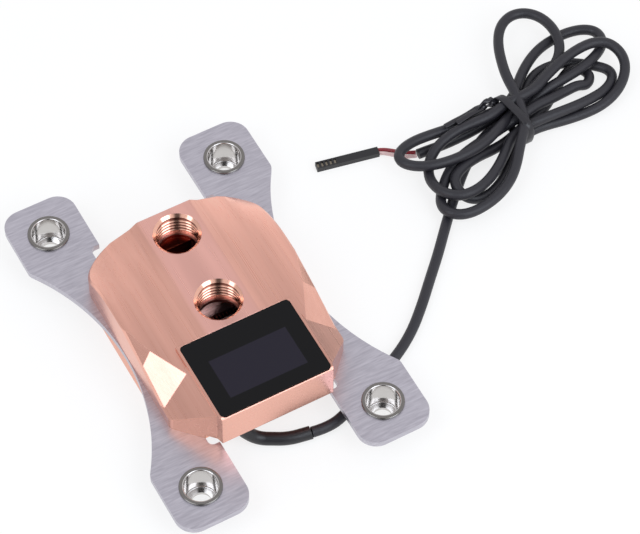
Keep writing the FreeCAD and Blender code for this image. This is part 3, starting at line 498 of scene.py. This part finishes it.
def brushed(tree, shader, spacing, run, axis, low, high, strength):
    """Fine parallel lines, with their spacing and run in millimetres, that give roughness and relief."""
    place = add(tree, "TexCoord")
    fine, long = 1 / (spacing * MM), 1 / (run * MM)
    scales = {"X": (long, fine, fine), "Y": (fine, long, fine)}[axis]
    stretched = add(tree, "Mapping", {"Vector": place.outputs["Object"], "Scale": scales})
    lines = add(tree, "TexNoise", {
        "Vector": stretched.outputs[0], "Scale": 1.0, "Detail": 3.0, "Roughness": 0.6})
    spread = add(tree, "MapRange", {
        "Value": lines.outputs["Fac"], "From Min": NOISE_LOW, "From Max": NOISE_HIGH,
        "To Min": low, "To Max": high})
    tree.links.new(spread.outputs[0], shader.inputs["Roughness"])
    relief = add(tree, "Bump", {
        "Height": lines.outputs["Fac"], "Strength": strength, "Distance": LINE_DEPTH * MM})
    tree.links.new(relief.outputs[0], shader.inputs["Normal"])
    return lines


# brushed stainless steel: fine light and dark lines along X, cool grey against the copper
brushed_stainless, tree, shader = new_material("brushed_stainless", Metallic=1.0)
lines = brushed(
    tree, shader, BRACKET_LINE_SPACING, BRACKET_LINE_RUN, axis="X", low=0.34, high=0.44, strength=0.2)
lines = add(tree, "MapRange", {
    "Value": lines.outputs["Fac"], "From Min": NOISE_LOW, "From Max": NOISE_HIGH})
tones = add(tree, "MixRGB", {
    "Fac": lines.outputs[0], "Color1": linear(BRACKET_DARK), "Color2": linear(BRACKET_LIGHT)})
tree.links.new(tones.outputs[0], shader.inputs["Base Color"])
paint(brushed_stainless, "bracket_left", "bracket_right")


# Bushings: turned steel cups, nickel plated, pressed into the brackets' ends.
# Each is one smooth turned piece with a raised rim, a deep bore and a hole for the mounting screw.
RIM_RADIUS = 5.75
RIM_TOP = 9.4
BODY_RADIUS = 5.15
SHOULDER = 8.8
CUP_BORE_RADIUS = 4.5
CUP_FLOOR = 1.0
HOLE_RADIUS = 2.75
ROUNDING = 0.3
CUP_STEPS = 96
CUP_SHARP_ANGLE = 32


def corner_arc(x, z, radius, start, end, steps=6):
    """Points of a rounded corner about a centre, with angles in degrees."""
    made = []
    for step in range(steps + 1):
        angle = math.radians(start + (end - start) * step / steps)
        made.append((x + radius * math.cos(angle), z + radius * math.sin(angle)))
    return made


def turned(name, profile, x, y):
    """A closed profile of radii and heights, turned about an upright line."""
    corners, faces = [], []
    row = len(profile)
    for step in range(CUP_STEPS):
        angle = 2 * math.pi * step / CUP_STEPS
        for radius, height in profile:
            corners.append(Vector((x + radius * math.cos(angle), y + radius * math.sin(angle), height)) * MM)
        this, other = step * row, (step + 1) % CUP_STEPS * row
        for side in range(row):
            beside = (side + 1) % row
            faces.append((this + side, other + side, other + beside, this + beside))
    made = mesh_piece(name, corners, faces)
    made.data.set_sharp_from_angle(angle=math.radians(CUP_SHARP_ANGLE))
    return made


CUP_BODY = (
    [(HOLE_RADIUS, 0.0)] + corner_arc(BODY_RADIUS - ROUNDING, ROUNDING, ROUNDING, -90, 0)
    + [(BODY_RADIUS, SHOULDER)])
CUP_RIM = (
    [(RIM_RADIUS, SHOULDER)] + corner_arc(RIM_RADIUS - ROUNDING, RIM_TOP - ROUNDING, ROUNDING, 0, 90))
CUP_BORE = (
    corner_arc(CUP_BORE_RADIUS + ROUNDING, RIM_TOP - ROUNDING, ROUNDING, 90, 180)
    + corner_arc(CUP_BORE_RADIUS - ROUNDING, CUP_FLOOR + ROUNDING, ROUNDING, 0, -90)
    + [(HOLE_RADIUS, CUP_FLOOR)])
CUP_PROFILE = CUP_BODY + CUP_RIM + CUP_BORE
RIM_FACES = range(len(CUP_BODY), len(CUP_BODY) + len(CUP_RIM))

# bright nickel, polished in the bore, which mirrors the studio as white and dark bands
polished_nickel, tree, shader = new_material("polished_nickel", Base_Color=linear("#D3D0CE"), Metallic=1.0)
uneven_shine(tree, shader, width=3.33, low=0.10, high=0.20)
# the raised rim is the same nickel painted darker, a painted dark reflection, so it is a dark ring round the
# bright bore
shaded_rim_nickel, tree, shader = new_material("shaded_rim_nickel", Base_Color=linear("#85827F"), Metallic=1.0)
uneven_shine(tree, shader, width=2.0, low=0.16, high=0.26)
for end in ("front", "back"):
    for side in ("left", "right"):
        node = f"bushing_{end}_{side}"
        low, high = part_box(node)
        x, y = ((low[way] + high[way]) / 2 / MM for way in (0, 1))
        cup = turned(f"{end}_{side}_cup", CUP_PROFILE, x, y)
        cup.data.materials.append(polished_nickel)
        cup.data.materials.append(shaded_rim_nickel)
        for face in cup.data.polygons:
            face.material_index = int(face.index % len(CUP_PROFILE) in RIM_FACES)
        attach(cup, "root")
        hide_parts(node)


# Screws: eight socket screws that hold the cold plate and the brackets to the block from below,
# and four that hold the control board. They are steel with a black oxide finish.
BASE_SCREWS = [f"base_screw_{number}" for number in range(1, 9)]
BOARD_SCREWS = [f"board_screw_{number}" for number in range(1, 5)]
# a dull blue-black, hardly seen
black_oxide, tree, shader = new_material("black_oxide", Base_Color=linear("#3A393C"), Metallic=1.0)
uneven_shine(tree, shader, width=1.11, low=0.3, high=0.5)
paint(black_oxide, *BASE_SCREWS, *BOARD_SCREWS)


# Cold plate: copper, ground flat below and skived into fins above, screwed under the block.
# Its edge shows as a thin line between block and table, and its fins at the bottom of the ports.
COPPER = "#F0AE95"
FIN_SHADE_COLOUR = "#5C2A22"
FIN_FLOOR = 1.2
FIN_SHADE_REACH = 14.0
GRIND_SPACING = 0.6667
GRIND_RUN = 12.5
# the ports' upright lines, as places along Y
PORTS = {"inlet_thread": -4.0, "outlet_thread": 19.9}


def port_distance(tree):
    """Distance from the nearer port's upright line, in metres, and the place in three parts."""
    place = add(tree, "TexCoord")
    parts = add(tree, "SeparateXYZ", {0: place.outputs["Object"]})
    gaps = []
    for y in PORTS.values():
        gap = add(tree, "Math", {0: parts.outputs["Y"], 1: y * MM}, operation="SUBTRACT")
        gaps.append(add(tree, "Math", {0: gap.outputs[0]}, operation="ABSOLUTE").outputs[0])
    nearer = add(tree, "Math", {0: gaps[0], 1: gaps[1]}, operation="MINIMUM")
    flat = add(tree, "CombineXYZ", {0: parts.outputs["X"], 1: nearer.outputs[0]})
    return add(tree, "VectorMath", {0: flat.outputs[0]}, operation="LENGTH").outputs["Value"], parts


# ground copper: a fine satin, warm orange where it faces the light
ground_copper, tree, shader = new_material("ground_copper", Metallic=1.0)
brushed(tree, shader, GRIND_SPACING, GRIND_RUN, axis="X", low=0.28, high=0.42, strength=0.3)
# near the ports the plate is painted dark above its floor, as painted shade on its fins deep under the ports;
# the same mask darkens its rear wall too
away, parts = port_distance(tree)
near = add(tree, "Math", {0: away, 1: FIN_SHADE_REACH * MM}, operation="LESS_THAN")
above = add(tree, "Math", {0: parts.outputs["Z"], 1: FIN_FLOOR * MM}, operation="GREATER_THAN")
near = add(tree, "Math", {0: near.outputs[0], 1: above.outputs[0]}, operation="MULTIPLY")
fin_shade = add(tree, "MixRGB", {"Fac": near.outputs[0], "Color1": linear(COPPER), "Color2": linear(FIN_SHADE_COLOUR)})
tree.links.new(fin_shade.outputs[0], shader.inputs["Base Color"])
paint(ground_copper, "cold_plate")


# Jet plate and seal: a thin stainless sheet that spreads the coolant over the fins, and the
# rubber ring in its groove round them. Both are clamped between cold plate and block.
ROLL_SPACING = 0.6667
ROLL_RUN = 12.5
# rolled steel, bright where a port shows it
bright_sheet, tree, shader = new_material("bright_sheet", Base_Color=linear("#B9B9BC"), Metallic=1.0)
brushed(tree, shader, ROLL_SPACING, ROLL_RUN, axis="X", low=0.25, high=0.40, strength=0.2)
paint(bright_sheet, "jet_plate")
# moulded rubber, a soft black without any shine
black_rubber, tree, shader = new_material("black_rubber", Base_Color=linear("#18181A"), Roughness=0.7)
fine_grain(tree, shader, width=1.0, depth=0.1, strength=0.1)
paint(black_rubber, "main_seal")


# Top block: one bare copper piece, milled and then belt-polished along Y, with a ridge for the
# ports and falling wings, held by eight screws from below. Its real cutter marks are finer than
# 0.1 mm, too fine to show, so they are drawn 0.5 mm apart.
BLOCK_LINE_SPACING = 0.5263
BLOCK_LINE_RUN = 28.57
BLOCK_DARK = "#ECAE9B"
BLOCK_LIGHT = "#F6C0AF"
RIDGE_COLOUR = "#F3BBB0"
RIDGE_SHARE = 0.8
RIDGE_FLAT = 7.0
RIDGE_SIDE = 8.5
RIDGE_FRONT = -19.0
BELT_STREAK = (6.667, 71.43, 16.67)
BELT_DULL = 0.86
BELT_BRIGHT = 1.04
BELT_NOISE = (0.35, 0.68)
# share of brightness gained per metre along X, Y and Z, and the share at the middle
PAINTED_LIGHT_SLOPE = (2.6, 4.2, 0.0)
PAINTED_LIGHT_MIDDLE = 1.01
# a face counts as a top, corner or facet where its direction agrees this well with theirs
TOP_FACING = (0.5, 0.8)
CORNER_FACING = (0.76, 0.84)
FACET_FACING = (0.985, 0.99)
CORNER_WAY = (-0.707, -0.707, 0.0)
CORNER_SHADE_SHARE = (0.84, 0.77, 0.64)
BORE_SHADE_COLOUR = "#84392A"
DRILLED_RADIUS = 5.9
DRILLED_TOP = 13.8
DRILLED_EDGE = 0.1
FACET_WAY = (0.636, 0.260, 0.727)
FACET_ROUGHNESS = 0.14
EDGE_SOFTNESS = 0.3

# satin copper: a warm pink-orange metal with soft lines along the wings
satin_copper, tree, shader = new_material("satin_copper", Metallic=1.0)
lines = brushed(
    tree, shader, BLOCK_LINE_SPACING, BLOCK_LINE_RUN, axis="Y", low=0.26, high=0.34, strength=0.12)
tones = add(tree, "MixRGB", {
    "Fac": lines.outputs["Fac"], "Color1": linear(BLOCK_DARK), "Color2": linear(BLOCK_LIGHT)})
place = add(tree, "TexCoord")
away, parts = port_distance(tree)
# the ridge's top is painted a little cooler in tone than the wings
aside = add(tree, "Math", {0: parts.outputs["X"]}, operation="ABSOLUTE")
ridge = add(tree, "MapRange", {
    "Value": aside.outputs[0], "From Min": RIDGE_FLAT * MM, "From Max": RIDGE_SIDE * MM,
    "To Min": RIDGE_SHARE, "To Max": 0.0})
behind_front = add(tree, "Math", {0: parts.outputs["Y"], 1: RIDGE_FRONT * MM}, operation="GREATER_THAN")
ridge = add(tree, "Math", {0: ridge.outputs[0], 1: behind_front.outputs[0]}, operation="MULTIPLY")
tones = add(tree, "MixRGB", {
    "Fac": ridge.outputs[0], "Color1": tones.outputs[0], "Color2": linear(RIDGE_COLOUR)})
# broad soft streaks along the wings, from the polishing belt
belt_and_light = add(tree, "Mapping", {
    "Vector": place.outputs["Object"], "Scale": [1 / (size * MM) for size in BELT_STREAK]})
belt_and_light = add(tree, "TexNoise", {"Vector": belt_and_light.outputs[0], "Scale": 1.0, "Detail": 2.0})
belt_and_light = add(tree, "MapRange", {
    "Value": belt_and_light.outputs["Fac"], "From Min": BELT_NOISE[0], "From Max": BELT_NOISE[1],
    "To Min": BELT_DULL, "To Max": BELT_BRIGHT})
# painted light: the front left of the top is painted duller and the back right brighter, as the light falls
# on it
painted_light = add(tree, "VectorMath", {0: place.outputs["Object"], 1: PAINTED_LIGHT_SLOPE}, operation="DOT_PRODUCT")
painted_light = add(tree, "Math", {0: painted_light.outputs["Value"], 1: PAINTED_LIGHT_MIDDLE}, operation="ADD")
belt_and_light = add(tree, "Math", {0: belt_and_light.outputs[0], 1: painted_light.outputs[0]}, operation="MULTIPLY")
up = add(tree, "SeparateXYZ", {0: place.outputs["Normal"]})
on_top = add(tree, "MapRange", {
    "Value": up.outputs["Z"], "From Min": TOP_FACING[0], "From Max": TOP_FACING[1]})
belt_and_light = add(tree, "Mix", {0: on_top.outputs[0], 2: 1.0, 3: belt_and_light.outputs[0]}, data_type="FLOAT")
tones = add(tree, "VectorMath", {0: tones.outputs[0], "Scale": belt_and_light.outputs[0]}, operation="SCALE")
# painted shade: the upright corner faces at the front are painted duller and browner
corner = add(tree, "VectorMath", {0: place.outputs["Normal"], 1: CORNER_WAY}, operation="DOT_PRODUCT")
corner = add(tree, "MapRange", {
    "Value": corner.outputs["Value"], "From Min": CORNER_FACING[0], "From Max": CORNER_FACING[1]})
shaded_corner = add(tree, "VectorMath", {0: tones.outputs[0], 1: CORNER_SHADE_SHARE}, operation="MULTIPLY")
tones = add(tree, "MixRGB", {
    "Fac": corner.outputs[0], "Color1": tones.outputs[0], "Color2": shaded_corner.outputs[0]})
# painted shade: the bores below the threads, deep in the ports, are painted darker and redder
bore = add(tree, "Math", {0: away, 1: DRILLED_RADIUS * MM}, operation="LESS_THAN")
deep = add(tree, "MapRange", {
    "Value": parts.outputs["Z"],
    "From Min": (DRILLED_TOP + DRILLED_EDGE) * MM, "From Max": (DRILLED_TOP - DRILLED_EDGE) * MM})
bore = add(tree, "Math", {0: bore.outputs[0], 1: deep.outputs[0]}, operation="MULTIPLY")
tones = add(tree, "MixRGB", {
    "Fac": bore.outputs[0], "Color1": tones.outputs[0], "Color2": linear(BORE_SHADE_COLOUR)})
tree.links.new(tones.outputs[0], shader.inputs["Base Color"])
# the flat facets at the front corners are fly-cut, so they are smoother than the rest
facing = add(tree, "VectorMath", {0: place.outputs["Normal"]}, operation="ABSOLUTE")
facing = add(tree, "VectorMath", {0: facing.outputs[0], 1: FACET_WAY}, operation="DOT_PRODUCT")
facet = add(tree, "MapRange", {
    "Value": facing.outputs["Value"], "From Min": FACET_FACING[0], "From Max": FACET_FACING[1]})
rough = shader.inputs["Roughness"].links[0].from_socket
rough = add(tree, "Mix", {0: facet.outputs[0], 2: rough, 3: FACET_ROUGHNESS}, data_type="FLOAT")
tree.links.new(rough.outputs[0], shader.inputs["Roughness"])
# a hair of rounding on every edge catches the light as a fine line
soft_edge = add(tree, "Bevel", {"Radius": EDGE_SOFTNESS * MM}, samples=4)
relief = shader.inputs["Normal"].links[0].from_node
tree.links.new(soft_edge.outputs[0], relief.inputs["Normal"])
paint(satin_copper, "top_block")


# Port threads: G1/4 pipe threads tapped in the ridge, five turns in each port under a lead-in cone.
# The flanks are polished by the tap and show as stacked bright rings.
THREAD_WALL = 6.57
THREAD_CREST = 5.76
THREAD_PITCH = 1.337
THREAD_TOP = 21.9
THREAD_BOTTOM = 13.9
THREAD_STEPS = 72
THREAD_RUN_OUT = 0.4
THREAD_SHARP_ANGLE = 50
# one turn's profile: share of the pitch, and share of the way in from the wall to the crest
THREAD_PROFILE = (
    (-0.5, 0.0), (-0.36, 0.18), (-0.12, 0.88), (0.0, 1.0), (0.12, 0.88), (0.36, 0.18), (0.5, 0.0))
LIP_TOP = 22.38
LIP_BOTTOM = 21.62
LIP_RADIUS = 5.81
LIP_UNDERSIDE = 21.52
# the lead-in cone, and its short underside
LIP_PROFILE = ((THREAD_WALL, LIP_TOP), (LIP_RADIUS, LIP_BOTTOM), (THREAD_WALL, LIP_UNDERSIDE))


def thread(name, y):
    """A helical rib on the wall of a port, which runs out at its two ends, and the port's lead-in."""
    count = int(((THREAD_TOP - THREAD_BOTTOM) / THREAD_PITCH - 1) * THREAD_STEPS)
    corners, faces = [], []
    row = len(THREAD_PROFILE)
    for step in range(count + 1):
        angle = 2 * math.pi * step / THREAD_STEPS
        centre = THREAD_TOP - THREAD_PITCH * (0.5 + step / THREAD_STEPS)
        to_end = min(step, count - step) / THREAD_STEPS
        fade = min(1.0, to_end / THREAD_RUN_OUT)
        for shift, inwards in THREAD_PROFILE:
            radius = THREAD_WALL - (THREAD_WALL - THREAD_CREST) * inwards * fade
            corners.append(Vector((
                radius * math.cos(angle), y + radius * math.sin(angle), centre + shift * THREAD_PITCH)) * MM)
    for step in range(count):
        for side in range(row - 1):
            first = step * row + side
            faces.append((first, first + 1, first + row + 1, first + row))
    lip = len(corners)
    row = len(LIP_PROFILE)
    for step in range(THREAD_STEPS):
        angle = 2 * math.pi * step / THREAD_STEPS
        for radius, height in LIP_PROFILE:
            corners.append(Vector((radius * math.cos(angle), y + radius * math.sin(angle), height)) * MM)
        this, other = lip + step * row, lip + (step + 1) % THREAD_STEPS * row
        for side in range(row - 1):
            faces.append((this + side, other + side, other + side + 1, this + side + 1))
    made = mesh_piece(name, corners, faces)
    made.data.set_sharp_from_angle(angle=math.radians(THREAD_SHARP_ANGLE))
    return made


CREST_COLOUR = "#F6BFA9"
ROOT_SHADE_COLOUR = "#6E3527"
ROOT_SHADE_SHARE = 0.9
ROOT_STARTS = 5.96
ROOT_FULL = 6.18
# tapped copper, smoother than the milled block, with painted shade in the thread's roots
tapped_copper, tree, shader = new_material("tapped_copper", Metallic=1.0)
uneven_shine(tree, shader, width=0.77, low=0.12, high=0.20)
away, parts = port_distance(tree)
root = add(tree, "MapRange", {
    "Value": away, "From Min": ROOT_STARTS * MM, "From Max": ROOT_FULL * MM, "To Max": ROOT_SHADE_SHARE})
# the lead-in above them gets no painted shade
below_lip = add(tree, "Math", {0: parts.outputs["Z"], 1: LIP_BOTTOM * MM}, operation="LESS_THAN")
root = add(tree, "Math", {0: root.outputs[0], 1: below_lip.outputs[0]}, operation="MULTIPLY")
tones = add(tree, "MixRGB", {
    "Fac": root.outputs[0], "Color1": linear(CREST_COLOUR), "Color2": linear(ROOT_SHADE_COLOUR)})
tree.links.new(tones.outputs[0], shader.inputs["Base Color"])
for name, y in PORTS.items():
    rib = thread(name, y)
    rib.data.materials.append(tapped_copper)
    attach(rib, "root")


# Cover glass: black-printed glass, bonded in its seat in the block, level with the ridge.
# Its border is printed on the back, and a clear window is left over the display panel.
BORDER_COLOUR = "#09090B"
WINDOW_COLOUR = "#211E29"
WINDOW_HALF_WIDTH = 11.3
WINDOW_HALF_LENGTH = 6.25
WINDOW_MIDDLE = -26.15
PRINT_EDGE = 0.12
# float glass over black ink: near black, with a weak mirror of the studio; the window is bluer
black_cover_glass, tree, shader = new_material(
    "black_cover_glass", Roughness=0.06, Specular_IOR_Level=0.2)
place = add(tree, "TexCoord")
parts = add(tree, "SeparateXYZ", {0: place.outputs["Object"]})
side = add(tree, "Math", {0: parts.outputs["X"]}, operation="ABSOLUTE")
side = add(tree, "Math", {0: side.outputs[0], 1: WINDOW_HALF_WIDTH * MM}, operation="SUBTRACT")
along = add(tree, "Math", {0: parts.outputs["Y"], 1: WINDOW_MIDDLE * MM}, operation="SUBTRACT")
along = add(tree, "Math", {0: along.outputs[0]}, operation="ABSOLUTE")
along = add(tree, "Math", {0: along.outputs[0], 1: WINDOW_HALF_LENGTH * MM}, operation="SUBTRACT")
outside = add(tree, "Math", {0: side.outputs[0], 1: along.outputs[0]}, operation="MAXIMUM")
border = add(tree, "MapRange", {
    "Value": outside.outputs[0], "From Min": -PRINT_EDGE * MM, "From Max": PRINT_EDGE * MM})
tones = add(tree, "MixRGB", {
    "Fac": border.outputs[0], "Color1": linear(WINDOW_COLOUR), "Color2": linear(BORDER_COLOUR)})
tree.links.new(tones.outputs[0], shader.inputs["Base Color"])
paint(black_cover_glass, "display_glass")


# Behind the glass: an adhesive gasket and a foam cushion that hold the glass and the panel,
# the display panel itself, and its control board on four screws.
# die-cut foam and adhesive, a dead black
black_adhesive, tree, shader = new_material("black_adhesive", Base_Color=linear("#0C0C0D"), Roughness=0.8)
fine_grain(tree, shader, width=1.11, depth=0.1, strength=0.1)
paint(black_adhesive, "display_gasket", "panel_cushion")
# a switched-off panel, a dark blue-grey with a soft sheen
dark_panel, tree, shader = new_material("dark_panel", Base_Color=linear("#16151C"))
uneven_shine(tree, shader, width=0.5, low=0.25, high=0.35)
paint(dark_panel, "display_panel")
# glass-fibre laminate under green solder resist, with the weave just felt
green_laminate, tree, shader = new_material("green_laminate", Base_Color=linear("#1F4A33"), Roughness=0.4)
fine_grain(tree, shader, width=0.667, depth=0.1, strength=0.1)
paint(green_laminate, "control_board")


bpy.context.view_layer.update()
